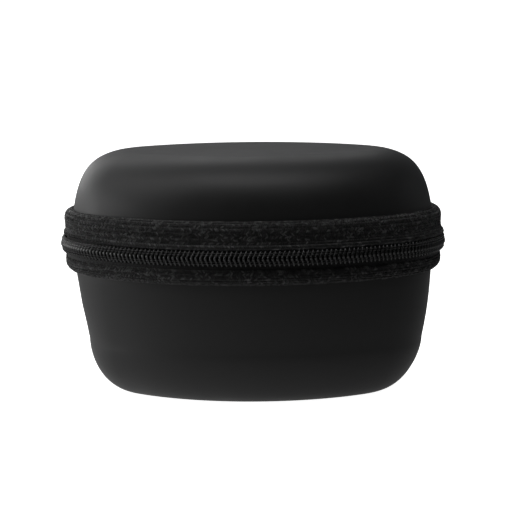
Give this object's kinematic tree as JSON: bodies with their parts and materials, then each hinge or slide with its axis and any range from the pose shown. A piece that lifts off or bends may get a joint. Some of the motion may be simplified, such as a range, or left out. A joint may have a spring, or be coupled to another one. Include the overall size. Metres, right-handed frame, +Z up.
{
  "type": "headphone carrying case",
  "caption": "Oval hard-shell carrying case for headphones: moulded base and lid, wide woven band with a coil zip round three sides and a cloth hinge at the back.",
  "frame": {"origin": "centre of the flat underside of the base, where the case rests", "axes": "+X along the case's length, -Y towards the front, +Y towards the cloth hinge, +Z up through the lid"},
  "size_m": [0.1828, 0.1295, 0.1173],
  "materials": {
    "moulded_shell": "matte soft-touch coated moulded foam",
    "brushed_lining": "brushed knit",
    "woven_tape": "woven polyester",
    "nylon_coil": "satin nylon monofilament",
    "binding_tape": "folded grosgrain",
    "pocket_net": "knitted polyester net",
    "elastic_hem": "gathered elastic",
    "enamelled_zinc": "black enamel on die-cast zinc"
  },
  "bodies": {
    "base": {"base_shell": "moulded_shell", "base_lining": "brushed_lining", "lower_zip_tape": "woven_tape", "lower_coil": "nylon_coil", "base_rim_binding": "binding_tape", "hinge_strip_outer": "woven_tape", "hinge_strip_inner": "brushed_lining", "zip_tail_left": "nylon_coil", "zip_tail_right": "nylon_coil", "zip_end_tab_left": "woven_tape", "zip_end_tab_right": "woven_tape"},
    "lid": {"lid_shell": "moulded_shell", "lid_lining": "brushed_lining", "upper_zip_tape": "woven_tape", "upper_coil": "nylon_coil", "lid_rim_binding": "binding_tape", "pocket_binding": "binding_tape", "pocket_net": "pocket_net", "pocket_elastic": "elastic_hem"},
    "front_slider": {"front_slider_body": "enamelled_zinc", "front_slider_crown": "enamelled_zinc"},
    "front_link": {"front_pull_link": "enamelled_zinc"},
    "front_tab": {"front_pull_tab": "enamelled_zinc"},
    "rear_slider": {"rear_slider_body": "enamelled_zinc", "rear_slider_crown": "enamelled_zinc"},
    "rear_link": {"rear_pull_link": "enamelled_zinc"},
    "rear_tab": {"rear_pull_tab": "enamelled_zinc"}
  },
  "joints": [
    {"name": "lid_open", "type": "hinge", "parent": "base", "child": "lid", "pos_m": [0, 0.061, 0.0715], "axis": [-1, 0, 0], "range_deg": [0, 110], "deforming": ["hinge_strip_outer", "hinge_strip_inner", "zip_tail_left", "zip_tail_right", "zip_end_tab_left", "zip_end_tab_right"]},
    {"name": "front_slider_travel", "type": "hinge", "parent": "base", "child": "front_slider", "pos_m": [-0.04, 0, 0.0715], "axis": [0, 0, 1], "range_deg": [0, 88]},
    {"name": "front_pull_swing", "type": "hinge", "parent": "front_slider", "child": "front_link", "pos_m": [-0.0803, 0.03946, 0.0715], "axis": [0.6997, 0.7145, 0], "range_deg": [0, 95]},
    {"name": "front_tab_sway", "type": "hinge", "parent": "front_link", "child": "front_tab", "pos_m": [-0.0803, 0.03946, 0.0634], "axis": [-0.7145, 0.6997, 0], "range_deg": [-5, 30]},
    {"name": "rear_slider_travel", "type": "hinge", "parent": "base", "child": "rear_slider", "pos_m": [0, -0.05014, 0.0715], "axis": [0, 0, -1], "range_deg": [0, 8]},
    {"name": "rear_pull_swing", "type": "hinge", "parent": "rear_slider", "child": "rear_link", "pos_m": [-0.06671, 0.05026, 0.0715], "axis": [0.8329, 0.5534, 0], "range_deg": [0, 95]},
    {"name": "rear_tab_sway", "type": "hinge", "parent": "rear_link", "child": "rear_tab", "pos_m": [-0.06671, 0.05026, 0.0634], "axis": [0.5534, -0.8329, 0], "range_deg": [-5, 30]}
  ]
}
